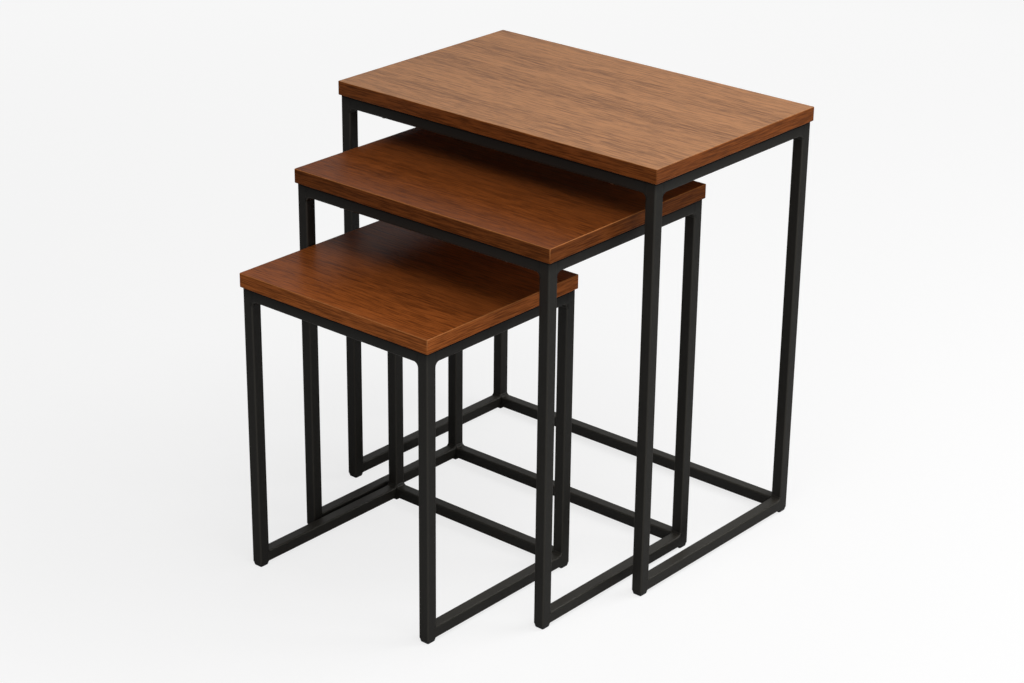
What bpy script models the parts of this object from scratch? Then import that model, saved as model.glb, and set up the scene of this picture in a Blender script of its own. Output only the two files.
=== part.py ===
"""Nest of three side tables: veneered boards on welded frames of square steel tube.

The medium table slides under the large one and the small table under the medium one. Each frame
has no rail along the floor at its front, so the next table can run in between its side rails.
All lengths are in metres, +Z is up and the tables' fronts face -Y. The origin is the centre of
the whole set's footprint, on the floor.
"""

import math

import bmesh
import bpy
from mathutils import Matrix, Vector

# Large table, which sets the sizes of the two that nest in it
LARGE_WIDTH = 0.500
LARGE_DEPTH = 0.315
LARGE_HEIGHT = 0.550

# Board
TOP_THICKNESS = 0.018
TOP_EDGE_RADIUS = 0.0012
TOP_OVERHANG = 0.0025

# Square steel tube
TUBE_SIZE = 0.015
TUBE_WALL = 0.0012
TUBE_CORNER_RADIUS = 0.002
TOP_CORNER_FILLET = 0.006
BOTTOM_CORNER_FILLET = 0.004

# Clearances that let one table nest inside the next
NEST_SIDE_CLEARANCE = 0.0325
NEST_BACK_CLEARANCE = 0.010
MEDIUM_HEADROOM = 0.032
SMALL_HEADROOM = 0.062

# Where the tables stand: how far each front is pulled out past the next larger one,
# and the gap left at the side that each one has drifted towards
MEDIUM_PULL = 0.140
SMALL_PULL = 0.115
MEDIUM_RIGHT_GAP = 0.0205
SMALL_LEFT_GAP = 0.004

# Foot glides
FOOT_HEIGHT = 0.004
FOOT_INSET = 0.001
FOOT_EDGE_RADIUS = 0.0014
FOOT_STEM_LENGTH = 0.012
FOOT_STEM_TAPER = 0.0004

# Screws that hold the board
SCREW_RADIUS = 0.00175
SCREW_HEAD_RADIUS = 0.0034
SCREW_HEAD_HEIGHT = 0.0020
SCREW_HEAD_EDGE = 0.0006
SCREW_SOCKET_RADIUS = 0.0013
SCREW_SOCKET_DEPTH = 0.0011
SCREW_TIP_LENGTH = 0.0030
SCREW_TIP_RADIUS = 0.0005
SCREW_BITE = 0.011
SCREW_FROM_LEG = 0.060

# Gap between pieces that touch or fit into each other
GAP = 0.0003

# Fineness of the rounded shapes
CORNER_STEPS = 2
EDGE_STEPS = 3
FILLET_STEPS = 4
ROUND_SIDES = 12
SMOOTH_ANGLE = math.radians(40)

# What follows from the sizes above
FRAME_SETBACK = TOP_OVERHANG + TUBE_SIZE
BORE_SIZE = TUBE_SIZE - 2 * TUBE_WALL
BORE_CORNER_RADIUS = TUBE_CORNER_RADIUS - TUBE_WALL
SCREW_HOLE_RADIUS = SCREW_RADIUS + GAP
LEG_BOTTOM = FOOT_HEIGHT + GAP

SIDES = {"left": -1, "right": 1}
ENDS = {"front": -1, "back": 1}


class Table:
    """One table of the nest: its board size, its height and where its board's centre stands."""

    def __init__(self, name, width, depth, height):
        self.name = name
        self.width = width
        self.depth = depth
        self.height = height
        self.x = 0.0
        self.front = 0.0

    def stand(self, x, front):
        """Put the table's centre at x and its front edge at front."""
        self.x = x
        self.front = front

    @property
    def back(self):
        return self.front + self.depth

    @property
    def frame_top(self):
        """Height of the frame's upper face, just under the board."""
        return self.height - TOP_THICKNESS - GAP

    @property
    def leg_x(self):
        """Half the distance between the left and the right legs' centre lines."""
        return self.width / 2 - TOP_OVERHANG - TUBE_SIZE / 2

    @property
    def leg_y(self):
        """Half the distance between the front and the back legs' centre lines."""
        return self.depth / 2 - TOP_OVERHANG - TUBE_SIZE / 2

    def nested(self, name, headroom):
        """The next smaller table, which fits between this one's legs and in front of its back rail."""
        width = self.width - 2 * (FRAME_SETBACK + NEST_SIDE_CLEARANCE)
        depth = self.depth - TUBE_SIZE - NEST_BACK_CLEARANCE
        height = self.height - TOP_THICKNESS - TUBE_SIZE - headroom
        return Table(name, width, depth, height)


def make_tables():
    """The three tables in their places, with the origin under the middle of the set."""
    large = Table("large", LARGE_WIDTH, LARGE_DEPTH, LARGE_HEIGHT)
    medium = large.nested("medium", MEDIUM_HEADROOM)
    small = medium.nested("small", SMALL_HEADROOM)
    medium_x = NEST_SIDE_CLEARANCE - MEDIUM_RIGHT_GAP
    small_x = medium_x - (NEST_SIDE_CLEARANCE - SMALL_LEFT_GAP)
    large.stand(0.0, 0.0)
    medium.stand(medium_x, -MEDIUM_PULL)
    small.stand(small_x, -MEDIUM_PULL - SMALL_PULL)
    tables = [large, medium, small]
    middle = (min(t.front for t in tables) + max(t.back for t in tables)) / 2
    for table in tables:
        table.stand(table.x, table.front - middle)
    return tables


# Scene helpers

def clear_scene():
    """Remove every object, so that the model starts empty."""
    for obj in list(bpy.data.objects):
        bpy.data.objects.remove(obj, do_unlink=True)


def make_material(name, colour, roughness, metallic):
    """A Principled material of one colour."""
    material = bpy.data.materials.new(name)
    material.use_nodes = True
    shader = material.node_tree.nodes["Principled BSDF"]
    shader.inputs["Base Color"].default_value = (*colour, 1.0)
    shader.inputs["Roughness"].default_value = roughness
    shader.inputs["Metallic"].default_value = metallic
    material.diffuse_color = (*colour, 1.0)
    return material


def add_object(name, bm, material, parent, place):
    """Turn a bmesh into a smooth-shaded object at place, a matrix in its parent's space."""
    bmesh.ops.recalc_face_normals(bm, faces=bm.faces)
    mesh = bpy.data.meshes.new(name)
    bm.to_mesh(mesh)
    bm.free()
    mesh.shade_smooth()
    mesh.set_sharp_from_angle(angle=SMOOTH_ANGLE)
    mesh.materials.append(material)
    obj = bpy.data.objects.new(name, mesh)
    bpy.context.scene.collection.objects.link(obj)
    obj.parent = parent
    obj.matrix_basis = place
    return obj


def add_hole(bm, place, radius, length):
    """Add a round cutter to bm, with its middle and its Z axis set by place."""
    bmesh.ops.create_cone(
        bm, cap_ends=True, segments=ROUND_SIDES, radius1=radius, radius2=radius,
        depth=length, matrix=place)


def cut(obj, cutter_bm):
    """Subtract a cutter, given in the object's own space, from the object's mesh."""
    cutter_mesh = bpy.data.meshes.new("cutter")
    cutter_bm.to_mesh(cutter_mesh)
    cutter_bm.free()
    cutter = bpy.data.objects.new("cutter", cutter_mesh)
    bpy.context.scene.collection.objects.link(cutter)
    cutter.parent = obj.parent
    cutter.matrix_basis = obj.matrix_basis
    boolean = obj.modifiers.new("holes", "BOOLEAN")
    boolean.operation = "DIFFERENCE"
    boolean.solver = "EXACT"
    boolean.object = cutter
    depsgraph = bpy.context.evaluated_depsgraph_get()
    drilled = bpy.data.meshes.new_from_object(obj.evaluated_get(depsgraph), depsgraph=depsgraph)
    obj.modifiers.clear()
    obj.data = drilled
    bpy.data.objects.remove(cutter, do_unlink=True)


# Sections and lofts

def rounded_rectangle(low_u, high_u, low_v, high_v, radius):
    """Points (u, v) of a rectangle with round corners, anticlockwise from the low corner's arc."""
    corners = (
        (low_u + radius, low_v + radius, math.pi),
        (high_u - radius, low_v + radius, 1.5 * math.pi),
        (high_u - radius, high_v - radius, 0.0),
        (low_u + radius, high_v - radius, 0.5 * math.pi),
    )
    points = []
    for centre_u, centre_v, start in corners:
        for step in range(CORNER_STEPS + 1):
            angle = start + 0.5 * math.pi * step / CORNER_STEPS
            points.append((centre_u + radius * math.cos(angle), centre_v + radius * math.sin(angle)))
    return points


def square(size, radius):
    """A rounded square of one size, centred on its axis."""
    return rounded_rectangle(-size / 2, size / 2, -size / 2, size / 2, radius)


def circle(radius):
    """A round section centred on its axis."""
    turns = [2 * math.pi * side / ROUND_SIDES for side in range(ROUND_SIDES)]
    return [(radius * math.cos(turn), radius * math.sin(turn)) for turn in turns]


def loft(sections, hollow):
    """Join sections, each (height, points), into a skin along Z.

    A hollow loft runs up the outside and back down the bore, so its last section joins its first.
    A solid one is closed with a face at each end.
    """
    bm = bmesh.new()
    rings = [[bm.verts.new((u, v, height)) for u, v in points] for height, points in sections]
    pairs = list(zip(rings, rings[1:]))
    if hollow:
        pairs.append((rings[-1], rings[0]))
    for lower, upper in pairs:
        for index, vertex in enumerate(lower):
            following = (index + 1) % len(lower)
            bm.faces.new((vertex, lower[following], upper[following], upper[index]))
    if not hollow:
        bm.faces.new(reversed(rings[0]))
        bm.faces.new(rings[-1])
    return bm


def fillet_stations(radius, length):
    """Places along a tube, from its end, with the fillet's depth at each: (distance, depth).

    The fillet is a quarter circle that touches the tube's face and the neighbour's face. Its thin
    tip is cut off one step from the neighbour.
    """
    angles = [0.5 * math.pi * step / FILLET_STEPS for step in range(1, FILLET_STEPS + 1)]
    arc = [(radius * (1 - math.cos(angle)), radius * (1 - math.sin(angle))) for angle in angles]
    near = [(0.0, arc[0][1])] + arc
    far = [(length - distance, depth) for distance, depth in reversed(near)]
    return near, far


def rail_mesh(length, fillet, filleted_ends):
    """A square tube along Z from 0 to length, open at both ends.

    At each filleted end, where it is welded to a leg, its +Y face swells into the corner fillet.
    """
    near, far = fillet_stations(fillet, length)
    if not filleted_ends[0]:
        near = [(0.0, 0.0)]
    if not filleted_ends[1]:
        far = [(length, 0.0)]
    half = TUBE_SIZE / 2
    outside = [
        (place, rounded_rectangle(-half, half, -half, half + depth, TUBE_CORNER_RADIUS))
        for place, depth in near + far
    ]
    bore = square(BORE_SIZE, BORE_CORNER_RADIUS)
    return loft(outside + [(length, bore), (0.0, bore)], hollow=True)


# Pieces of one table, each in the table's own space: origin on the floor under the board's centre

def make_top(table, root, material):
    """The board: a box with rounded edges and a blind hole for each screw in its underside."""
    bm = bmesh.new()
    bmesh.ops.create_cube(bm, size=1.0)
    bmesh.ops.scale(bm, vec=(table.width, table.depth, TOP_THICKNESS), verts=bm.verts)
    bmesh.ops.bevel(
        bm, geom=bm.edges[:], offset=TOP_EDGE_RADIUS, offset_type="OFFSET",
        segments=EDGE_STEPS, profile=0.5, affect="EDGES")
    centre_height = table.height - TOP_THICKNESS / 2
    place = Matrix.Translation((0.0, 0.0, centre_height))
    top = add_object(f"{table.name}_top", bm, material, root, place)
    cutter = bmesh.new()
    for _, x, y in screw_places(table):
        mouth = Matrix.Translation((x, y, -TOP_THICKNESS / 2))
        add_hole(cutter, mouth, SCREW_HOLE_RADIUS, 2 * (SCREW_BITE + GAP))
    cut(top, cutter)


def make_legs(table, root, material):
    """Four upright tubes, open at both ends: the board covers the top, a glide plugs the bottom."""
    outside = square(TUBE_SIZE, TUBE_CORNER_RADIUS)
    bore = square(BORE_SIZE, BORE_CORNER_RADIUS)
    length = table.frame_top - LEG_BOTTOM
    for name, x, y in corner_places(table):
        sections = [(0.0, outside), (length, outside), (length, bore), (0.0, bore)]
        place = Matrix.Translation((x, y, LEG_BOTTOM))
        add_object(f"{table.name}_leg_{name}", loft(sections, hollow=True), material, root, place)


def rail_place(start, along, fillet_side):
    """Matrix that lays a tube from start, along a direction, with its fillet to fillet_side."""
    z_axis = Vector(along)
    y_axis = Vector(fillet_side)
    x_axis = y_axis.cross(z_axis)
    turn = Matrix((x_axis, y_axis, z_axis)).transposed().to_4x4()
    return Matrix.Translation(start) @ turn


def make_top_rails(table, root, material):
    """Four tubes between the legs under the board, with a fillet down each leg."""
    height = table.frame_top - TUBE_SIZE / 2
    reach_x = table.leg_x - TUBE_SIZE / 2 - GAP
    reach_y = table.leg_y - TUBE_SIZE / 2 - GAP
    down = (0.0, 0.0, -1.0)
    for name, side in SIDES.items():
        bm = rail_mesh(2 * reach_y, TOP_CORNER_FILLET, (True, True))
        place = rail_place((side * table.leg_x, -reach_y, height), (0.0, 1.0, 0.0), down)
        add_object(f"{table.name}_top_rail_{name}", bm, material, root, place)
    for name, end in ENDS.items():
        bm = rail_mesh(2 * reach_x, TOP_CORNER_FILLET, (True, True))
        place = rail_place((-reach_x, end * table.leg_y, height), (1.0, 0.0, 0.0), down)
        rail = add_object(f"{table.name}_top_rail_{name}", bm, material, root, place)
        drill_rail(rail, table, reach_x)


def drill_rail(rail, table, reach_x):
    """Drill a front or back top rail for its two screws, which cross it at right angles."""
    across = Matrix.Rotation(math.radians(90), 4, "X")
    cutter = bmesh.new()
    for side in SIDES.values():
        crossing = Matrix.Translation((0.0, 0.0, reach_x + side * screw_x(table)))
        add_hole(cutter, crossing @ across, SCREW_HOLE_RADIUS, 2 * TUBE_SIZE)
    cut(rail, cutter)


def make_bottom_rails(table, root, material):
    """Three tubes along the floor: left, right and back. The front stays open for nesting."""
    height = LEG_BOTTOM + TUBE_SIZE / 2
    reach_x = table.leg_x - TUBE_SIZE / 2 - GAP
    reach_y = table.leg_y - TUBE_SIZE / 2 - GAP
    up = (0.0, 0.0, 1.0)
    for name, side in SIDES.items():
        bm = rail_mesh(2 * reach_y, BOTTOM_CORNER_FILLET, (False, True))
        place = rail_place((side * table.leg_x, -reach_y, height), (0.0, 1.0, 0.0), up)
        add_object(f"{table.name}_bottom_rail_{name}", bm, material, root, place)
    bm = rail_mesh(2 * reach_x, BOTTOM_CORNER_FILLET, (True, True))
    place = rail_place((-reach_x, table.leg_y, height), (1.0, 0.0, 0.0), up)
    add_object(f"{table.name}_bottom_rail_back", bm, material, root, place)


def make_feet(table, root, material):
    """Plastic glides: a pad with rounded lower edges, and a stem that plugs into the leg."""
    pad = TUBE_SIZE - 2 * FOOT_INSET
    stem = BORE_SIZE - 2 * GAP
    tip = stem - 2 * FOOT_STEM_TAPER
    radius = TUBE_CORNER_RADIUS
    sections = [
        (0.0, square(pad - 2 * FOOT_EDGE_RADIUS, radius)),
        (FOOT_EDGE_RADIUS, square(pad, radius)),
        (FOOT_HEIGHT, square(pad, radius)),
        (FOOT_HEIGHT, square(stem, BORE_CORNER_RADIUS)),
        (FOOT_HEIGHT + FOOT_STEM_LENGTH, square(tip, BORE_CORNER_RADIUS)),
    ]
    for name, x, y in corner_places(table):
        bm = loft(sections, hollow=False)
        place = Matrix.Translation((x, y, 0.0))
        add_object(f"{table.name}_foot_{name}", bm, material, root, place)


def make_screws(table, root, material):
    """Pan-head screws, up through the front and back top rails and into the board."""
    rail_bottom = table.frame_top - TUBE_SIZE
    head_top = rail_bottom - GAP
    head_bottom = head_top - SCREW_HEAD_HEIGHT
    tip = table.height - TOP_THICKNESS + SCREW_BITE
    length = tip - head_bottom
    rim = SCREW_HEAD_RADIUS - SCREW_HEAD_EDGE
    sections = [
        (SCREW_SOCKET_DEPTH, circle(SCREW_SOCKET_RADIUS)),
        (0.0, circle(SCREW_SOCKET_RADIUS)),
        (0.0, circle(rim)),
        (SCREW_HEAD_EDGE, circle(SCREW_HEAD_RADIUS)),
        (SCREW_HEAD_HEIGHT, circle(SCREW_HEAD_RADIUS)),
        (SCREW_HEAD_HEIGHT, circle(SCREW_RADIUS)),
        (length - SCREW_TIP_LENGTH, circle(SCREW_RADIUS)),
        (length, circle(SCREW_TIP_RADIUS)),
    ]
    for name, x, y in screw_places(table):
        bm = loft(sections, hollow=False)
        place = Matrix.Translation((x, y, head_bottom))
        add_object(f"{table.name}_screw_{name}", bm, material, root, place)


def corner_places(table):
    """Name and plan position of each leg."""
    return [
        (f"{end_name}_{side_name}", side * table.leg_x, end * table.leg_y)
        for end_name, end in ENDS.items()
        for side_name, side in SIDES.items()
    ]


def screw_x(table):
    """Distance of each screw from the table's middle, measured along its front or back rail."""
    return table.leg_x - SCREW_FROM_LEG


def screw_places(table):
    """Name and plan position of each screw: two in the front top rail and two in the back one."""
    return [
        (f"{end_name}_{side_name}", side * screw_x(table), end * table.leg_y)
        for end_name, end in ENDS.items()
        for side_name, side in SIDES.items()
    ]


def make_root(table):
    """Empty on the floor under the board's centre; the table slides along its Y axis."""
    root = bpy.data.objects.new(f"{table.name}_table", None)
    root.empty_display_size = TUBE_SIZE
    root.location = (table.x, table.front + table.depth / 2, 0.0)
    bpy.context.scene.collection.objects.link(root)
    return root


def main():
    clear_scene()
    walnut = make_material("walnut", (0.235, 0.098, 0.040), 0.45, 0.0)
    powder_coat = make_material("black_powder_coat", (0.012, 0.012, 0.012), 0.50, 0.0)
    glide_plastic = make_material("black_glide_plastic", (0.018, 0.018, 0.018), 0.55, 0.0)
    zinc = make_material("zinc_plated_steel", (0.55, 0.55, 0.56), 0.35, 1.0)
    for table in make_tables():
        root = make_root(table)
        make_top(table, root, walnut)
        make_legs(table, root, powder_coat)
        make_top_rails(table, root, powder_coat)
        make_bottom_rails(table, root, powder_coat)
        make_feet(table, root, glide_plastic)
        make_screws(table, root, zinc)


main()
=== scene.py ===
import math

import bpy
import numpy as np
from mathutils import Matrix, Vector


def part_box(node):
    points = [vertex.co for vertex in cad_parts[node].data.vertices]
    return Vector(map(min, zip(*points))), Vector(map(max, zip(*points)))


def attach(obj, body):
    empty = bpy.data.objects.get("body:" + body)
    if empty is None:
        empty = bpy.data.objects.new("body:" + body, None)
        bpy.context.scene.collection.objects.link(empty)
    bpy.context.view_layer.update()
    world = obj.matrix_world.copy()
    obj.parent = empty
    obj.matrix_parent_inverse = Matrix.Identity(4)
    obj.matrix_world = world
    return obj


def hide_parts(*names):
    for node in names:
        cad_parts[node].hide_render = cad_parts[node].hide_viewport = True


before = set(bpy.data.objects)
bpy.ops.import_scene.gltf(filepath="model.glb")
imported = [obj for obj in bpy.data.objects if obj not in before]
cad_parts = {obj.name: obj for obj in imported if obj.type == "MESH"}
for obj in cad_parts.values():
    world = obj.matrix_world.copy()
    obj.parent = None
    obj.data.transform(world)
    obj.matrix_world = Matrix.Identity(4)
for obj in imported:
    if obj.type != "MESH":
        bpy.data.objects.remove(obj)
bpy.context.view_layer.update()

bl_info = {
    "name": "Nesting Tables",
    "version": (1, 0, 0),
    "blender": (4, 5, 0),
    "location": "3D View > Sidebar > Nesting Tables",
    "description": "Finished surfaces, materials and stage for a nest of three side tables",
    "category": "Object",
}

TABLES = ("large", "medium", "small")
CORNERS = ("front_left", "front_right", "back_left", "back_right")
MM = 0.001

# Extra points this far from each rounded edge keep the flat faces shaded flat
SUPPORT = 0.4 * MM

# A rail is this much narrower than the leg that it meets, so that their faces never coincide
HIDDEN_STEP = 0.02 * MM

# The grain of the edge bands is this much finer than that of the tops
EDGE_FINENESS = 1.15

# The pale colour of the rounded upper edges: partly the veneer where the lacquer and stain are
# rubbed away, partly a painted highlight
BARE_WOOD_AND_HIGHLIGHT = (0.50, 0.19, 0.062)

# The mottle of the screws' zinc
ZINC_DARK = (0.45, 0.45, 0.46)
ZINC_LIGHT = (0.66, 0.66, 0.67)

# Radius of the small rounding at both ends of a leg
LEG_END_RADIUS = 1.2 * MM

# Painted shade under the boards: how dark and dull the coat is, at these depths below the underside
# of a board
PAINTED_SHADE_DEPTHS = np.array([0.0, 1.9, 2.4, 12.6]) * MM
PAINTED_SHADE_SHARES = (1.0, 1.0, 0.45, 0.0)

# A glide: the pad's share of the height that shows, its inset from the leg, its lower edge's
# radius, its corner radius, and the inset of the collar above it
PAD_SHARE = 0.62
PAD_INSET = 1.0 * MM
PAD_EDGE = 1.6 * MM
PAD_CORNER = 3.2 * MM
COLLAR_INSET = 0.45 * MM

# A screw: height and radius of its head, radius of its recess, of its shank and of its tip, height
# and pitch of its thread, and length of its point
HEAD_HEIGHT = 2.0 * MM
HEAD_RADIUS = 3.4 * MM
RECESS_RADIUS = 1.35 * MM
SHANK_RADIUS = 1.45 * MM
TIP_RADIUS = 0.25 * MM
THREAD_HEIGHT = 0.30 * MM
THREAD_PITCH = 1.3 * MM
POINT_LENGTH = 2.4 * MM

# Half the width of the studio floor, its grey as the camera sees it in shade, and its grey as it
# lights the tables
FLOOR_REACH = 30.0
FLOOR_SHADE = (0.25, 0.25, 0.25)
FLOOR_BOUNCE = (0.5, 0.5, 0.5)

# The colour behind the tables, and how strong the white light is that comes from all round
BACKDROP = (0.90, 0.90, 0.895)
AMBIENT = 0.05

# Each soft light: name, place, width and height, brightness, and what it points at
LIGHTS = (
    ("overhead", (0.6, 0.1, 2.3), (1.2, 1.2), 2.6, (0.0, 0.0, 0.3)),
    ("overhead_front", (0.75, -0.8, 2.3), (1.2, 1.2), 2.2, (0.0, 0.0, 0.3)),
    ("overhead_back", (1.2, 1.2, 2.0), (1.2, 1.2), 4.8, (0.0, 0.0, 0.3)),
    ("low_right", (2.6, 0.0, 1.0), (1.6, 1.2), 2.5, (0.0, 0.0, 0.3)),
    ("low_front", (0.3, -2.8, 0.8), (2.0, 1.0), 2.1, (0.0, 0.0, 0.3)),
    ("backdrop", (-2.2, 2.6, 2.15), (3.4, 1.4), 0.95, (0.0, 0.0, 0.6)),
)

# The camera's place, and its turn about the upright, its rise above the level and its roll, in
# degrees
CAMERA_PLACE = (1.7513, -2.0466, 1.4233)
CAMERA_TURNS = (40.324, 23.382, 0.664)


# Settings that a user would change

class NestSettings(bpy.types.PropertyGroup):
    """Sizes of the small shapes that the finished pieces add, and the finishes' colours."""

    board_arris: bpy.props.FloatProperty(
        name="Board arris", description="Radius of the board's long rounded edges",
        default=0.9 * MM, unit="LENGTH")
    board_corner: bpy.props.FloatProperty(
        name="Board corner", description="Radius of the board's upright corners",
        default=1.3 * MM, unit="LENGTH")
    tube_arris: bpy.props.FloatProperty(
        name="Tube arris", description="Outside corner radius of the square tube",
        default=2.0 * MM, unit="LENGTH")
    top_fillet: bpy.props.FloatProperty(
        name="Top fillet", description="Radius of the inner corner between a leg and a top rail",
        default=6.0 * MM, unit="LENGTH")
    bottom_fillet: bpy.props.FloatProperty(
        name="Bottom fillet", description="Radius of the inner corner at the back, by the floor",
        default=4.0 * MM, unit="LENGTH")
    toe_fillet: bpy.props.FloatProperty(
        name="Toe fillet", description="Radius of the inner corner at the front, by the floor",
        default=1.0 * MM, unit="LENGTH")
    leaf_light: bpy.props.FloatVectorProperty(
        name="Leaf light", description="Colour of the pale streaks in the tops' veneer",
        default=(0.285, 0.075, 0.0150), subtype="COLOR", size=3, min=0.0, max=1.0)
    leaf_dark: bpy.props.FloatVectorProperty(
        name="Leaf dark", description="Colour of the dark streaks in the tops' veneer",
        default=(0.070, 0.016, 0.0030), subtype="COLOR", size=3, min=0.0, max=1.0)
    # The large table's veneer colours are paler and greyer than the others': painted light and a
    # painted reflection on its top
    large_lit_leaf_light: bpy.props.FloatVectorProperty(
        name="Large leaf light", description="Pale streaks of the large table's veneer",
        default=(0.540, 0.246, 0.100), subtype="COLOR", size=3, min=0.0, max=1.0)
    large_lit_leaf_dark: bpy.props.FloatVectorProperty(
        name="Large leaf dark", description="Dark streaks of the large table's veneer",
        default=(0.165, 0.064, 0.022), subtype="COLOR", size=3, min=0.0, max=1.0)
    band_light: bpy.props.FloatVectorProperty(
        name="Edge band light", description="Colour of the pale streaks in the edge bands",
        default=(0.360, 0.102, 0.0230), subtype="COLOR", size=3, min=0.0, max=1.0)
    band_dark: bpy.props.FloatVectorProperty(
        name="Edge band dark", description="Colour of the dark streaks in the edge bands",
        default=(0.075, 0.019, 0.0040), subtype="COLOR", size=3, min=0.0, max=1.0)
    powder_coat: bpy.props.FloatVectorProperty(
        name="Powder coat", description="Colour of the frames",
        default=(0.0135, 0.0124, 0.0100), subtype="COLOR", size=3, min=0.0, max=1.0)
    glide_black: bpy.props.FloatVectorProperty(
        name="Glide plastic", description="Colour of the foot glides",
        default=(0.012, 0.012, 0.012), subtype="COLOR", size=3, min=0.0, max=1.0)
    floor_colour: bpy.props.FloatVectorProperty(
        name="Floor", description="Colour of the studio floor",
        default=(0.86, 0.86, 0.86), subtype="COLOR", size=3, min=0.0, max=1.0)
    light_level: bpy.props.FloatProperty(
        name="Light level", description="Strength of all the studio lights together",
        default=1.0, min=0.0, subtype="FACTOR")
    lens: bpy.props.FloatProperty(
        name="Lens", description="Focal length of the camera",
        default=83.1 * MM, unit="CAMERA")


# Surfaces

def arc_ring(low_u, high_u, half_v, low_radius, high_radius, steps):
    """Rounded rectangle around one or more sections, anticlockwise in (u, v).

    Each corner is a quarter circle: its centre lies one radius inside both sides, and the point at
    angle a is the centre plus the radius times (cos a, sin a). One more point lies on the straight
    side just before and after each arc. Sizes may be arrays, one value per section, and the result
    is then two arrays of sections by points.
    """
    turn = np.linspace(0.0, 0.5 * np.pi, steps + 1)
    turn = np.concatenate([turn[:1], turn, turn[-1:]])
    slide = np.zeros(steps + 3)
    slide[0], slide[-1] = -SUPPORT, SUPPORT
    quarter = np.repeat(np.arange(4), steps + 3)
    angle = quarter * 0.5 * np.pi + np.tile(turn, 4)
    slide = np.tile(slide, 4)
    right = np.isin(quarter, (0, 3))
    upper = np.isin(quarter, (0, 1))
    low_u, high_u, half_v, low_radius, high_radius = (
        np.atleast_1d(np.asarray(size, dtype=float))[:, None]
        for size in (low_u, high_u, half_v, low_radius, high_radius))
    radius = np.where(right, high_radius, low_radius)
    centre_u = np.where(right, high_u - radius, low_u + radius)
    centre_v = np.where(upper, half_v - radius, radius - half_v)
    u = centre_u + radius * np.cos(angle) - slide * np.sin(angle)
    v = centre_v + radius * np.sin(angle) + slide * np.cos(angle)
    return u, v


def skin(name, points):
    """Closed mesh object from a grid of points, sections by ring by three.

    Neighbouring points make four-sided faces, each ring closes on itself, and the first and the
    last section are each closed with one flat face. If the enclosed volume comes out negative the
    faces are turned round, so that they point outwards.
    """
    sections, ring = points.shape[:2]
    row = np.arange(sections - 1)[:, None] * ring
    here = np.arange(ring)[None, :]
    following = (here + 1) % ring
    quads = np.stack(
        [row + here, row + following, row + ring + following, row + ring + here], axis=-1)
    quads = quads.reshape(-1, 4)
    first = np.arange(ring)[::-1]
    last = np.arange(ring) + (sections - 1) * ring
    flat = points.reshape(-1, 3)
    p0, p1, p2, p3 = (flat[quads[:, k]] for k in range(4))
    middle = flat.mean(axis=0)
    volume = np.einsum("ij,ij->", p0 - middle, np.cross(p1 - middle, p2 - middle))
    volume += np.einsum("ij,ij->", p0 - middle, np.cross(p2 - middle, p3 - middle))
    if volume < 0:
        quads, first, last = quads[:, ::-1], first[::-1], last[::-1]
    faces = quads.tolist() + [first.tolist(), last.tolist()]
    mesh = bpy.data.meshes.new(name)
    mesh.from_pydata(flat.tolist(), [], faces)
    mesh.validate()
    mesh.shade_smooth()
    piece = bpy.data.objects.new(name, mesh)
    bpy.context.scene.collection.objects.link(piece)
    return piece


def stack(name, low, high, heights, insets, corner, steps):
    """Upright piece: rounded rectangles at given heights, each inset from the sides of a box.

    The corner radius shrinks by the inset, so the sections stay parallel to the box.
    """
    middle = (low + high) / 2
    half = (high - low) / 2
    heights, insets = np.asarray(heights), np.asarray(insets)
    radius = np.maximum(corner - insets, 0.1 * MM)
    half_u = half[0] - insets
    u, v = arc_ring(-half_u, half_u, half[1] - insets, radius, radius, steps)
    z = np.broadcast_to(heights[:, None], u.shape)
    return skin(name, np.stack([middle[0] + u, middle[1] + v, z], axis=-1))


def block_profile(bottom, top, radius, steps):
    """Heights and insets of a block whose lower and upper edges are quarter circles.

    At angle a the height is the radius times (1 - cos a) from the face, and the inset is the
    radius times (1 - sin a).
    """
    angle = np.linspace(0.0, 0.5 * np.pi, steps + 1)
    rise = radius * (1 - np.cos(angle))
    inset = radius * (1 - np.sin(angle))
    lower = np.concatenate([[0.0], rise, [radius + SUPPORT]])
    inward = np.concatenate([[radius + SUPPORT], inset, [0.0]])
    heights = np.concatenate([bottom + lower, (top - lower)[::-1]])
    return heights, np.concatenate([inward, inward[::-1]])


def corner_box(node):
    """Lowest and highest corner of a node of the frame, as arrays."""
    low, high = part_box(node)
    return np.array(low), np.array(high)


def tube_size():
    """Outside size of the square tube, read from a leg."""
    low, high = corner_box("large_leg_front_left")
    return high[0] - low[0]


def rail_path(length, near_fillet, far_fillet, size, bury):
    """Sections of a rail between two legs: place, direction across the tube, and thickness.

    The rail runs along u, from the face of one leg at 0 to the face of the other at length, and
    its tube lies below v = 0. In each inner corner a quarter circle rises to the leg. Its centre
    is one radius from the leg and one above the tube, and each section there lies on a line from
    that centre, as far as the tube's lower face or the plane that is buried in the leg.
    """
    def corner(radius):
        knee = np.arctan2(-(radius + size), -(radius + bury))
        angle = np.concatenate([
            np.linspace(-np.pi, knee, 4)[:-1], np.linspace(knee, -0.5 * np.pi, 8)])
        along = np.stack([np.cos(angle), np.sin(angle)], axis=-1)
        to_leg = (radius + bury) / np.maximum(-along[:, 0], 1e-9)
        to_face = (radius + size) / np.maximum(-along[:, 1], 1e-9)
        thickness = np.minimum(to_leg, to_face) - radius
        return radius + radius * along, along, thickness

    place, across, thickness = corner(near_fillet)
    far_place, far_across, far_thickness = corner(far_fillet)
    mirror = np.array([-1.0, 1.0])
    far_place = far_place[::-1] * mirror + np.array([length, 0.0])
    straight = np.array([[near_fillet + SUPPORT, 0.0], [length - far_fillet - SUPPORT, 0.0]])
    down = np.array([[0.0, -1.0], [0.0, -1.0]])
    return (
        np.concatenate([place, straight, far_place]),
        np.concatenate([across, down, far_across[::-1] * mirror]),
        np.concatenate([thickness, [size, size], far_thickness[::-1]]))


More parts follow.
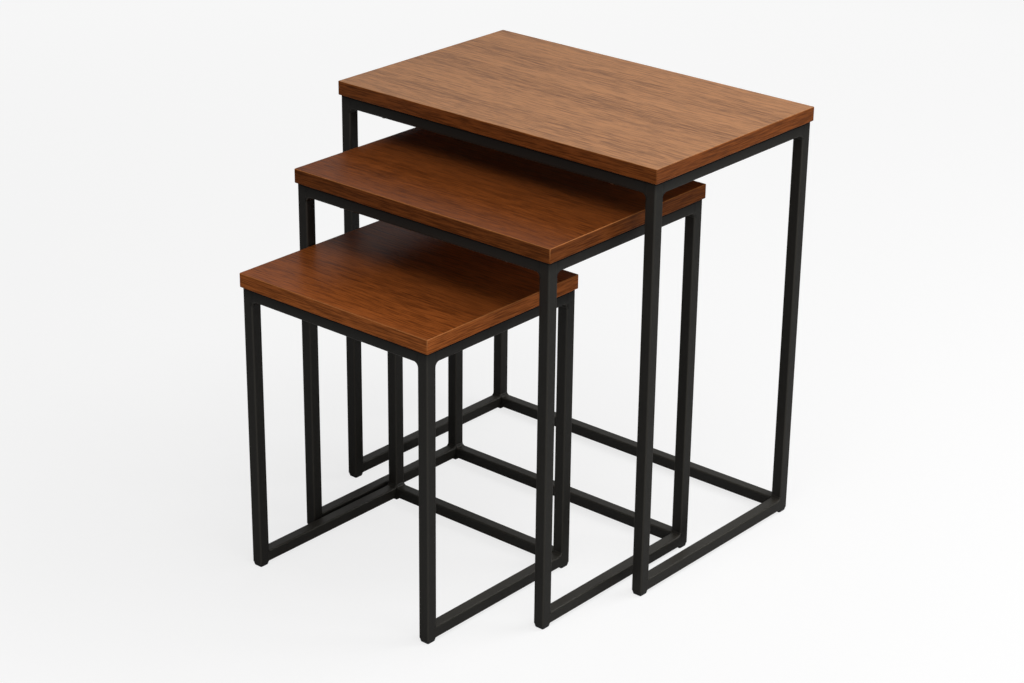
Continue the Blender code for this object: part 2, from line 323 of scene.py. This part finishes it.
def rail_skin(name, start, along, fillet_side, length, fillets, settings):
    """Square tube between two legs, with a rounded inner corner at each end.

    A section is a rounded rectangle, as thick as the path says and as wide as the tube. It is
    carried along the path: each point is the path's place, plus its share of the thickness in the
    path's direction, plus its share of the width sideways.
    """
    size = tube_size()
    arris = settings.tube_arris
    bury = arris + SUPPORT
    place, across, thickness = rail_path(length, fillets[0], fillets[1], size, bury)
    half_width = size / 2 - HIDDEN_STEP
    far_arris = np.clip(thickness - arris, 0.2 * MM, arris)
    near_arris = np.minimum(arris, thickness - far_arris)
    depth, width = arc_ring(0.0, thickness, half_width, near_arris, far_arris, 4)
    flat = place[:, None, :] + depth[:, :, None] * across[:, None, :]
    along, up = np.array(along), np.array(fillet_side)
    side = np.cross(along, up)
    points = np.array(start) + flat[..., :1] * along + flat[..., 1:] * up + width[..., None] * side
    return skin(name, points)


def fit(piece, table, node, material):
    """Finish one piece: its material, the body that it rides on and the node that it stands for."""
    piece.data.materials.append(material)
    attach(piece, f"{table}_table")
    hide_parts(node)


# Materials

class Shader:
    """Builds one material's nodes. An input may be a constant or the output of another node."""

    def __init__(self, name):
        self.material = bpy.data.materials.new(name)
        self.material.use_nodes = True
        self.tree = self.material.node_tree
        self.surface = self.tree.nodes["Principled BSDF"]

    def feed(self, node, inputs):
        """Set or link a node's inputs, given by name or number."""
        for key, value in inputs.items():
            if isinstance(value, bpy.types.NodeSocket):
                self.tree.links.new(value, node.inputs[key])
            else:
                node.inputs[key].default_value = value

    def add(self, kind, output, inputs, **settings):
        """Add a node with its settings and inputs, and give back one of its outputs."""
        node = self.tree.nodes.new(kind)
        for key, value in settings.items():
            setattr(node, key, value)
        self.feed(node, inputs)
        return node.outputs[output]

    def stretched(self, vector, scale):
        """A vector with each of its parts multiplied."""
        return self.add("ShaderNodeVectorMath", 0, {0: vector, 1: scale}, operation="MULTIPLY")

    def noise(self, vector, scale, detail=2.0, roughness=0.5):
        """Noise from 0 to 1, with its own scale along each axis, in cycles per metre."""
        return self.add(
            "ShaderNodeTexNoise", "Fac",
            {"Vector": self.stretched(vector, scale), "Scale": 1.0, "Detail": detail,
             "Roughness": roughness})

    def math(self, operation, first, second):
        """One sum, difference or product of two numbers."""
        return self.add("ShaderNodeMath", 0, {0: first, 1: second}, operation=operation)

    def span(self, value, low, high, to_low, to_high):
        """Map a value from one range to another, held at both ends."""
        return self.add(
            "ShaderNodeMapRange", "Result",
            {"Value": value, "From Min": low, "From Max": high,
             "To Min": to_low, "To Max": to_high})

    def centred(self, value, size):
        """Turn noise from 0 to 1 into a shift of about plus or minus half the size."""
        return self.math("MULTIPLY", self.math("SUBTRACT", value, 0.5), size)

    def total(self, *shares):
        """Sum of values, each multiplied by its share."""
        result = 0.0
        for value, share in shares:
            result = self.add(
                "ShaderNodeMath", 0, {0: value, 1: share, 2: result}, operation="MULTIPLY_ADD")
        return result

    def mix_values(self, share, first, second):
        """Mix two numbers."""
        return self.add("ShaderNodeMix", 0, {0: share, 2: first, 3: second}, data_type="FLOAT")

    def mix(self, share, first, second):
        """Mix two colours."""
        return self.add("ShaderNodeMix", 2, {0: share, 6: first, 7: second}, data_type="RGBA")

    def ramp(self, value, stops):
        """Number read from a ramp of (place, number) stops, smoothed between them."""
        node = self.tree.nodes.new("ShaderNodeValToRGB")
        node.color_ramp.interpolation = "EASE"
        elements = node.color_ramp.elements
        while len(elements) < len(stops):
            elements.new(0.5)
        for element, (place, number) in zip(elements, stops):
            element.position = place
            element.color = (number, number, number, 1.0)
        self.feed(node, {"Fac": value})
        return node.outputs["Color"]

    def finish(self, **inputs):
        """Feed the surface shader; an underscore in a name stands for a space."""
        self.feed(self.surface, {key.replace("_", " "): value for key, value in inputs.items()})
        return self.material


def opaque(colour):
    """A colour with full opacity."""
    return (*colour, 1.0)


def toned(colour, share):
    """A colour made paler or darker, with full opacity."""
    return tuple(share * part for part in colour) + (1.0,)


# How pale the veneer is from the board's back edge (0) to its front edge (1)
STREAKS = {
    "large": ((0.00, 0.52), (0.10, 0.60), (0.22, 0.34), (0.30, 0.40), (0.37, 0.74), (0.410, 0.82),
              (0.422, 0.40), (0.54, 0.34), (0.62, 0.58), (0.74, 0.62), (0.82, 0.38), (0.90, 0.44),
              (1.00, 0.56)),
    "medium": ((0.00, 0.50), (0.30, 0.45), (0.52, 0.55), (0.60, 0.82), (0.64, 0.70), (0.68, 0.28),
               (0.74, 0.32), (0.82, 0.55), (0.90, 0.50), (1.00, 0.62)),
    "small": ((0.00, 0.50), (0.30, 0.52), (0.44, 0.45), (0.53, 0.72), (0.60, 0.62), (0.64, 0.32),
              (0.74, 0.40), (0.80, 0.60), (0.90, 0.48), (1.00, 0.58)),
}

# How glossy the lacquer is; how much paler or darker each board's top and edge bands are made,
# which is painted light and shade; and how strongly the rounded upper edges are made pale, partly
# as lacquer rubbed through and partly as a painted highlight
SHEEN = {"large": 0.10, "medium": 0.05, "small": 0.05}
TOP_PAINTED_LIGHT = {"large": 0.95, "medium": 0.80, "small": 1.22}
BAND_PAINTED_LIGHT = {"large": 0.77, "medium": 0.63, "small": 1.28}
RUBBED_AND_HIGHLIGHT = {"large": 0.20, "medium": 0.75, "small": 0.75}


def walnut_material(table, leaf_light, leaf_dark, settings):
    """Walnut veneer under satin lacquer, for one board.

    The pattern follows the grain attribute: metres along the grain, metres across it, and a number
    that is different on each sheet. Wide streaks come from a ramp across the board. Growth lines,
    dark flecks and fine fibres are noise drawn out along the grain. All are shifted sideways by a
    slow noise and a small ripple, so that they wander. The edge bands have their own colours and
    no ramp. Each board's colours are made paler or darker by its own share, which is painted light
    and shade, and the rounded upper edges are made pale, partly as rubbed-through wear and partly
    as a painted highlight.
    """
    shader = Shader(f"{table}_walnut_veneer")
    grain = shader.add("ShaderNodeAttribute", "Vector", {}, attribute_name="grain")
    wear_and_highlight = shader.add("ShaderNodeAttribute", "Fac", {}, attribute_name="arris")
    share = shader.add("ShaderNodeAttribute", "Fac", {}, attribute_name="depth_share")
    leaf = shader.add("ShaderNodeAttribute", "Fac", {}, attribute_name="leaf")

    sway = shader.centred(shader.noise(grain, (2.4, 8.0, 1.0), detail=1.0), 0.024)
    ripple = shader.centred(shader.noise(grain, (12.0, 50.0, 1.0), detail=1.0), 0.0016)
    wander = shader.math(
        "MULTIPLY", shader.math("ADD", sway, ripple), shader.mix_values(leaf, 0.2, 1.0))
    shift = shader.add("ShaderNodeCombineXYZ", 0, {"Y": wander})
    place = shader.add("ShaderNodeVectorMath", 0, {0: grain, 1: shift}, operation="ADD")

    bands = shader.noise(place, (0.9, 30.0, 1.0), detail=2.0)
    lines = shader.noise(place, (3.0, 200.0, 1.0), detail=2.0, roughness=0.6)
    flecks = shader.noise(place, (40.0, 540.0, 1.0), detail=1.0)
    fibres = shader.noise(place, (32.0, 640.0, 1.0), detail=2.0, roughness=0.7)
    patches = shader.noise(place, (7.0, 22.0, 1.0), detail=1.0)

    across = shader.math("ADD", share, shader.math("MULTIPLY", wander, 2.2))
    streaks = shader.ramp(across, STREAKS[table])
    streaks = shader.mix_values(leaf, 0.5, streaks)
    fleck = shader.span(flecks, 0.54, 0.64, 0.0, 1.0)
    fleck = shader.math("MULTIPLY", fleck, shader.span(patches, 0.42, 0.62, 0.35, 1.0))
    tone = shader.total(
        (streaks, 0.52), (shader.span(bands, 0.3, 0.7, 0.0, 1.0), 0.14),
        (shader.span(lines, 0.34, 0.66, 0.0, 1.0), shader.mix_values(leaf, 0.10, 0.16)),
        (shader.span(fibres, 0.38, 0.62, 0.0, 1.0), shader.mix_values(leaf, 0.76, 0.80)),
        (fleck, shader.mix_values(leaf, -0.10, -0.24)))
    tone = shader.span(tone, 0.05, 1.10, 0.0, 1.0)
    # Each board's colours made paler or darker by its own share: painted light and shade
    top = shader.mix(
        tone, toned(leaf_dark, TOP_PAINTED_LIGHT[table]), toned(leaf_light, TOP_PAINTED_LIGHT[table]))
    edge = shader.mix(
        tone, toned(settings.band_dark, BAND_PAINTED_LIGHT[table]),
        toned(settings.band_light, BAND_PAINTED_LIGHT[table]))
    colour = shader.mix(leaf, edge, top)
    # Pale on the rounded upper edges: partly rubbed-through wear, partly a painted highlight
    colour = shader.mix(shader.math("MULTIPLY", wear_and_highlight, RUBBED_AND_HIGHLIGHT[table]), colour, opaque(BARE_WOOD_AND_HIGHLIGHT))

    height = shader.total((fibres, 0.6), (fleck, -0.5))
    bump = shader.add(
        "ShaderNodeBump", "Normal", {"Strength": 0.3, "Distance": 0.00010, "Height": height})
    rough = shader.span(fibres, 0.2, 0.8, 0.30, 0.40)
    return shader.finish(
        Base_Color=colour, Roughness=rough, Normal=bump, Specular_IOR_Level=SHEEN[table])


def powder_material(settings):
    """Matt black powder coat with fine orange peel.

    It is a little paler in patches. It is paler on the rounded edges, a painted highlight, and
    dull and dark just under the board, which is painted shade.
    """
    shader = Shader("black_powder_coat")
    place = shader.add("ShaderNodeTexCoord", "Object", {})
    peel = shader.noise(place, (900.0, 900.0, 900.0), detail=2.0)
    cloud = shader.noise(place, (14.0, 14.0, 14.0), detail=3.0)
    base = settings.powder_coat
    painted_shade = shader.add("ShaderNodeAttribute", "Fac", {}, attribute_name="painted_shade")
    edge = shader.add("ShaderNodeAttribute", "Fac", {}, attribute_name="arris")
    colour = shader.mix(cloud, opaque(base), toned(base, 1.5))
    # Paler on the rounded edges: a painted highlight
    colour = shader.mix(edge, colour, toned(base, 2.6))
    # Nearly black just under the board: painted shade
    colour = shader.mix(painted_shade, colour, toned(base, 0.1))
    rough = shader.mix_values(painted_shade, shader.span(peel, 0.2, 0.8, 0.42, 0.56), 0.95)
    bump = shader.add(
        "ShaderNodeBump", "Normal", {"Strength": 0.25, "Distance": 0.00008, "Height": peel})
    return shader.finish(Base_Color=colour, Roughness=rough, Normal=bump, Specular_IOR_Level=0.35)


def glide_material(settings):
    """Black moulded plastic with a faint grain."""
    shader = Shader("black_glide_plastic")
    place = shader.add("ShaderNodeTexCoord", "Object", {})
    grain = shader.noise(place, (1400.0, 1400.0, 1400.0), detail=1.0)
    colour = shader.mix(grain, opaque(settings.glide_black), toned(settings.glide_black, 1.6))
    bump = shader.add(
        "ShaderNodeBump", "Normal", {"Strength": 0.2, "Distance": 0.00005, "Height": grain})
    rough = shader.span(grain, 0.2, 0.8, 0.5, 0.62)
    return shader.finish(Base_Color=colour, Roughness=rough, Normal=bump)


def zinc_material():
    """Zinc-plated steel with a fine mottle."""
    shader = Shader("zinc_plated_steel")
    place = shader.add("ShaderNodeTexCoord", "Object", {})
    mottle = shader.noise(place, (700.0, 700.0, 700.0), detail=3.0)
    colour = shader.mix(mottle, opaque(ZINC_DARK), opaque(ZINC_LIGHT))
    rough = shader.span(mottle, 0.2, 0.8, 0.25, 0.45)
    return shader.finish(Base_Color=colour, Roughness=rough, Metallic=1.0)


# Boards

def grain_coordinates(piece, low, high, seed):
    """Store what the veneer's pattern needs, at each face corner.

    "grain" is metres along the grain, metres across it, which is stretched on the edge bands, and
    a number for the sheet of veneer. The upper and lower faces and the front and back edges have
    their grain along X, and the left and right edges along Y. Which of these a face belongs to is
    the largest part of its normal. "depth_share" runs from 0 at the back edge to 1 at the front,
    "leaf" is 1 on the upper and lower faces and 0 on the edge bands, and "arris" is 1 on the
    rounded edges of the upper half.
    """
    mesh = piece.data
    count = len(mesh.loops)
    vertex = np.empty(count, dtype=np.int32)
    mesh.loops.foreach_get("vertex_index", vertex)
    place = np.empty(len(mesh.vertices) * 3)
    mesh.vertices.foreach_get("co", place)
    place = place.reshape(-1, 3)
    corner = place[vertex]
    normal = np.empty(len(mesh.polygons) * 3)
    mesh.polygons.foreach_get("normal", normal)
    totals = np.empty(len(mesh.polygons), dtype=np.int32)
    mesh.polygons.foreach_get("loop_total", totals)
    normal = np.repeat(normal.reshape(-1, 3), totals, axis=0)
    facing = np.argmax(np.abs(normal), axis=1)
    toward = normal[np.arange(count), facing] > 0
    along = np.where(facing == 0, corner[:, 1], corner[:, 0])
    across = np.where(facing == 2, corner[:, 1], EDGE_FINENESS * corner[:, 2])
    sheet = 17.3 * (2 * facing + toward) + 131.0 * seed
    share = (high[1] - corner[:, 1]) / (high[1] - low[1])
    on_face = (np.abs(corner - low) < 0.01 * MM) | (np.abs(corner - high) < 0.01 * MM)
    upper_half = corner[:, 2] > (low[2] + high[2]) / 2
    values = {
        "grain": ("FLOAT_VECTOR", "vector", np.stack([along, across, sheet], axis=-1)),
        "depth_share": ("FLOAT", "value", share),
        "leaf": ("FLOAT", "value", facing == 2),
        # The rounded upper edges, painted pale partly as wear and partly as a highlight
        "arris": ("FLOAT", "value", ~on_face.any(axis=1) & upper_half),
    }
    for name, (kind, field, numbers) in values.items():
        attribute = mesh.attributes.new(name, kind, "CORNER")
        attribute.data.foreach_set(field, np.asarray(numbers, dtype=np.float32).ravel())


class NEST_OT_boards(bpy.types.Operator):
    """Make the three walnut boards with their rounded edges"""

    bl_idname = "nest.boards"
    bl_label = "Boards"

    def execute(self, context):
        settings = context.scene.nest_settings
        for seed, table in enumerate(TABLES):
            light, dark = settings.leaf_light, settings.leaf_dark
            # The large top takes paler, greyer colours: painted light and a painted reflection
            if table == "large":
                light, dark = settings.large_lit_leaf_light, settings.large_lit_leaf_dark
            walnut = walnut_material(table, light, dark, settings)
            node = f"{table}_top"
            low, high = corner_box(node)
            heights, insets = block_profile(low[2], high[2], settings.board_arris, 4)
            piece = stack(f"{table}_board", low, high, heights, insets, settings.board_corner, 4)
            grain_coordinates(piece, low, high, seed)
            fit(piece, table, node, walnut)
        return {"FINISHED"}


# Frames

def paint_coat_light_and_shade(piece, low, high, underside):
    """Store where the coat differs, at each point of a tube whose sides lie on a box.

    The "arris" attribute is 1 on the points of the rounded edges, where a highlight is painted. The
    other attribute runs from 1 in the joint with the board to 0 a little below it, and paints the
    shade under the board.
    """
    mesh = piece.data
    place = np.empty(len(mesh.vertices) * 3)
    mesh.vertices.foreach_get("co", place)
    place = place.reshape(-1, 3)
    sides = (np.abs(place - low) < 0.05 * MM) | (np.abs(place - high) < 0.05 * MM)
    # Painted shade: 1 in the joint with the board, fading to 0 a little below it
    painted_shade = np.interp(underside - place[:, 2], PAINTED_SHADE_DEPTHS, PAINTED_SHADE_SHARES)
    # The rounded edges, where a highlight is painted on the coat
    arris = ~sides.any(axis=1) & (painted_shade < 0.9)
    for name, values in (("arris", arris), ("painted_shade", painted_shade)):
        attribute = mesh.attributes.new(name, "FLOAT", "POINT")
        attribute.data.foreach_set("value", values.astype(np.float32))


class NEST_OT_frames(bpy.types.Operator):
    """Make the legs and rails of the three welded frames"""

    bl_idname = "nest.frames"
    bl_label = "Frames"

    def execute(self, context):
        settings = context.scene.nest_settings
        coat = powder_material(settings)
        for table in TABLES:
            for corner in CORNERS:
                node = f"{table}_leg_{corner}"
                low, high = corner_box(node)
                heights, insets = block_profile(low[2], high[2], LEG_END_RADIUS, 3)
                middle = len(heights) // 2
                heights = np.insert(heights, [middle, middle], high[2] - PAINTED_SHADE_DEPTHS[:1:-1])
                insets = np.insert(insets, [middle, middle], 0.0)
                piece = stack(f"{table}_upright_{corner}", low, high, heights, insets,
                              settings.tube_arris, 4)
                paint_coat_light_and_shade(piece, low, high, high[2])
                fit(piece, table, node, coat)
            self.rails(table, settings, coat)
        return {"FINISHED"}

    def rails(self, table, settings, coat):
        """The four top rails and the three bottom rails of one table."""
        size = tube_size()
        near_low, near_high = corner_box(f"{table}_leg_front_left")
        far_low, far_high = corner_box(f"{table}_leg_back_right")
        near, far = (near_low + near_high) / 2, (far_low + far_high) / 2
        middle = {"left": near[0], "right": far[0], "front": near[1], "back": far[1]}
        levels = {"top": (near_high[2] - size, -1), "bottom": (near_low[2] + size, 1)}
        top, bottom, toe = settings.top_fillet, settings.bottom_fillet, settings.toe_fillet
        fillets = {
            "top": dict.fromkeys(("left", "right", "front", "back"), (top, top)),
            "bottom": {"left": (toe, bottom), "right": (toe, bottom), "back": (bottom, bottom)},
        }
        for level, (height, up) in levels.items():
            for side, ends in fillets[level].items():
                if side in ("left", "right"):
                    start, along = (middle[side], near_high[1], height), (0, 1, 0)
                    length = far_low[1] - near_high[1]
                else:
                    start, along = (near_high[0], middle[side], height), (1, 0, 0)
                    length = far_low[0] - near_high[0]
                piece = rail_skin(
                    f"{table}_{level}_tube_{side}", start, along, (0, 0, up), length, ends,
                    settings)
                node = f"{table}_{level}_rail_{side}"
                paint_coat_light_and_shade(piece, *corner_box(node), near_high[2])
                fit(piece, table, node, coat)


# Feet

def glide_profile(base, leg_end):
    """Heights and insets of a pad with a rounded lower edge, and of the collar above it.

    At angle a the edge rises by its radius times (1 - cos a), and is inset by its radius times
    (1 - sin a). The collar's upper end is just inside the leg.
    """
    angle = np.linspace(0.0, 0.5 * np.pi, 5)
    pad_top = base + PAD_SHARE * (leg_end - base)
    heights = np.concatenate([
        [base], base + PAD_EDGE * (1 - np.cos(angle)),
        [pad_top, pad_top + 0.15 * MM, leg_end - 0.1 * MM, leg_end + 0.02 * MM]])
    insets = np.concatenate([
        [PAD_INSET + PAD_EDGE + SUPPORT], PAD_INSET + PAD_EDGE * (1 - np.sin(angle)),
        [PAD_INSET, COLLAR_INSET, COLLAR_INSET - 0.1 * MM, COLLAR_INSET + 0.15 * MM]])
    return heights, insets


class NEST_OT_feet(bpy.types.Operator):
    """Make the plastic glides under the legs"""

    bl_idname = "nest.feet"
    bl_label = "Foot glides"

    def execute(self, context):
        plastic = glide_material(context.scene.nest_settings)
        for table in TABLES:
            for corner in CORNERS:
                node = f"{table}_foot_{corner}"
                leg_low, leg_high = corner_box(f"{table}_leg_{corner}")
                base = corner_box(node)[0][2]
                heights, insets = glide_profile(base, leg_low[2])
                piece = stack(
                    f"{table}_glide_{corner}", leg_low, leg_high, heights, insets, PAD_CORNER, 4)
                fit(piece, table, node, plastic)
        return {"FINISHED"}


# Screws

def screw_skin(name, centre, bottom, tip):
    """Pan-head screw, head down, with a six-lobed recess and a rolled thread.

    Every point is at a radius and a height. In the recess the radius swells six times round the
    turn. On the shank a triangle wave in height over pitch, less the turn, makes the helix.
    """
    length = tip - bottom
    turn = np.linspace(0.0, 2 * np.pi, 37)[:-1]
    head = np.append(np.array([1.1, 1.1, 0.05, 0.0, 0.0, 0.35, 1.0, 1.8]) * MM, HEAD_HEIGHT)
    shank = np.linspace(HEAD_HEIGHT, length - POINT_LENGTH - 0.2 * MM, 66)
    point = np.linspace(length - POINT_LENGTH, length, 8)
    heights = np.concatenate([head, shank, point])
    radii = np.concatenate([
        [0.3 * MM, RECESS_RADIUS * 0.92, RECESS_RADIUS, RECESS_RADIUS + 0.1 * MM, 2.3 * MM,
         3.0 * MM, HEAD_RADIUS, HEAD_RADIUS, HEAD_RADIUS - 0.15 * MM],
        np.full(len(shank), SHANK_RADIUS),
        np.linspace(SHANK_RADIUS - 0.05 * MM, TIP_RADIUS, len(point))])
    lobes = np.zeros(len(heights))
    lobes[1:4] = 0.14
    thread = np.zeros(len(heights))
    thread[len(head) + 4:len(head) + len(shank)] = THREAD_HEIGHT
    phase = heights[:, None] / THREAD_PITCH - turn[None, :] / (2 * np.pi)
    wave = 2 * np.abs(phase - np.floor(phase + 0.5))
    radius = radii[:, None] * (1 + lobes[:, None] * np.cos(6 * turn)) + thread[:, None] * (1 - wave)
    points = np.stack([
        centre[0] + radius * np.cos(turn), centre[1] + radius * np.sin(turn),
        np.broadcast_to(bottom + heights[:, None], radius.shape)], axis=-1)
    return skin(name, points)


class NEST_OT_screws(bpy.types.Operator):
    """Make the screws that hold the boards to the front and back rails"""

    bl_idname = "nest.screws"
    bl_label = "Screws"

    def execute(self, context):
        zinc = zinc_material()
        for table in TABLES:
            for corner in CORNERS:
                node = f"{table}_screw_{corner}"
                low, high = corner_box(node)
                piece = screw_skin(f"{table}_bolt_{corner}", (low + high) / 2, low[2], high[2])
                piece.data.set_sharp_from_angle(angle=math.radians(50))
                fit(piece, table, node, zinc)
        return {"FINISHED"}


# Stage

def soft_light(name, place, size, brightness, target):
    """Rectangular soft light, turned to a target and not seen by the camera.

    Its power is pi times its area times its brightness.
    """
    data = bpy.data.lights.new(name, "AREA")
    data.shape = "RECTANGLE"
    data.size, data.size_y = size
    data.energy = math.pi * size[0] * size[1] * brightness
    light = bpy.data.objects.new(name, data)
    bpy.context.scene.collection.objects.link(light)
    direction = Vector(target) - Vector(place)
    light.rotation_euler = direction.to_track_quat("-Z", "Y").to_euler()
    light.location = place
    light.visible_camera = False


def floor_material(settings):
    """Pale paper, lit from below for the camera so that shadows stay faint."""
    shader = Shader("studio_floor")
    output = shader.tree.nodes["Material Output"]
    shade = shader.add("ShaderNodeBsdfDiffuse", 0, {"Color": opaque(FLOOR_SHADE)})
    place = shader.add("ShaderNodeTexCoord", "Object", {})
    reach = shader.add("ShaderNodeVectorMath", "Value", {0: place}, operation="LENGTH")
    strength = shader.span(reach, 0.5, 2.6, 0.895, 0.99)
    glow = shader.add(
        "ShaderNodeEmission", 0, {"Color": opaque(settings.floor_colour), "Strength": strength})
    seen = shader.add("ShaderNodeAddShader", 0, {0: shade, 1: glow})
    bounce = shader.add("ShaderNodeBsdfDiffuse", 0, {"Color": opaque(FLOOR_BOUNCE)})
    camera = shader.add("ShaderNodeLightPath", "Is Camera Ray", {})
    both = shader.add("ShaderNodeMixShader", 0, {0: camera, 1: bounce, 2: seen})
    shader.feed(output, {"Surface": both})
    shader.tree.nodes.remove(shader.surface)
    return shader.material


def studio_world(scene):
    """Pale backdrop to the camera, dimmer light on the tables."""
    world = bpy.data.worlds.new("studio")
    world.use_nodes = True
    tree = world.node_tree
    background = tree.nodes["Background"]
    background.inputs["Color"].default_value = (1.0, 1.0, 1.0, 1.0)
    background.inputs["Strength"].default_value = AMBIENT
    seen = tree.nodes.new("ShaderNodeBackground")
    seen.inputs["Color"].default_value = opaque(BACKDROP)
    path = tree.nodes.new("ShaderNodeLightPath")
    mix = tree.nodes.new("ShaderNodeMixShader")
    tree.links.new(path.outputs["Is Camera Ray"], mix.inputs["Fac"])
    tree.links.new(background.outputs["Background"], mix.inputs[1])
    tree.links.new(seen.outputs["Background"], mix.inputs[2])
    tree.links.new(mix.outputs["Shader"], tree.nodes["World Output"].inputs["Surface"])
    scene.world = world


class NEST_OT_stage(bpy.types.Operator):
    """Make the floor, the lights and the camera"""

    bl_idname = "nest.stage"
    bl_label = "Stage"

    def execute(self, context):
        scene = context.scene
        settings = scene.nest_settings
        scene.view_settings.view_transform = "Standard"
        self.floor(settings)
        studio_world(scene)
        for name, place, size, brightness, target in LIGHTS:
            soft_light(name, place, size, brightness * settings.light_level, target)
        self.camera(scene, settings)
        return {"FINISHED"}

    def floor(self, settings):
        """Flat pale floor, wide enough to reach the horizon."""
        corners = np.array([(-1, -1, 0), (1, -1, 0), (1, 1, 0), (-1, 1, 0)]) * FLOOR_REACH
        mesh = bpy.data.meshes.new("studio_floor")
        mesh.from_pydata(corners.tolist(), [], [(0, 1, 2, 3)])
        floor = bpy.data.objects.new("studio_floor", mesh)
        bpy.context.scene.collection.objects.link(floor)
        floor.data.materials.append(floor_material(settings))

    def camera(self, scene, settings):
        """Camera in front of the nest and to its right, above it and rolled a touch."""
        turn, rise, roll = (math.radians(angle) for angle in CAMERA_TURNS)
        back = Vector((
            math.sin(turn) * math.cos(rise), -math.cos(turn) * math.cos(rise), math.sin(rise)))
        level = Vector((math.cos(turn), math.sin(turn), 0.0))
        upright = back.cross(level)
        right = math.cos(roll) * level + math.sin(roll) * upright
        upward = math.cos(roll) * upright - math.sin(roll) * level
        data = bpy.data.cameras.new("camera")
        data.sensor_width = 36.0
        data.lens = settings.lens / MM
        camera = bpy.data.objects.new("camera", data)
        scene.collection.objects.link(camera)
        camera.matrix_world = Matrix.Translation(CAMERA_PLACE) @ Matrix(
            (right, upward, back)).transposed().to_4x4()
        scene.camera = camera


# Sidebar

OPERATORS = (NEST_OT_boards, NEST_OT_frames, NEST_OT_feet, NEST_OT_screws, NEST_OT_stage)


class NEST_PT_panel(bpy.types.Panel):
    """Lists the pieces that can be made and the settings that they use"""

    bl_label = "Nesting Tables"
    bl_space_type = "VIEW_3D"
    bl_region_type = "UI"
    bl_category = "Nesting Tables"

    def draw(self, context):
        settings = context.scene.nest_settings
        for name in NestSettings.__annotations__:
            self.layout.prop(settings, name)
        for operator in OPERATORS:
            self.layout.operator(operator.bl_idname)


CLASSES = (NestSettings, *OPERATORS, NEST_PT_panel)


def register():
    for cls in CLASSES:
        bpy.utils.register_class(cls)
    bpy.types.Scene.nest_settings = bpy.props.PointerProperty(type=NestSettings)


def unregister():
    del bpy.types.Scene.nest_settings
    for cls in reversed(CLASSES):
        bpy.utils.unregister_class(cls)


def main():
    register()
    bpy.ops.nest.stage()
    bpy.ops.nest.boards()
    bpy.ops.nest.frames()
    bpy.ops.nest.feet()
    bpy.ops.nest.screws()


if __name__ == "__main__":
    main()
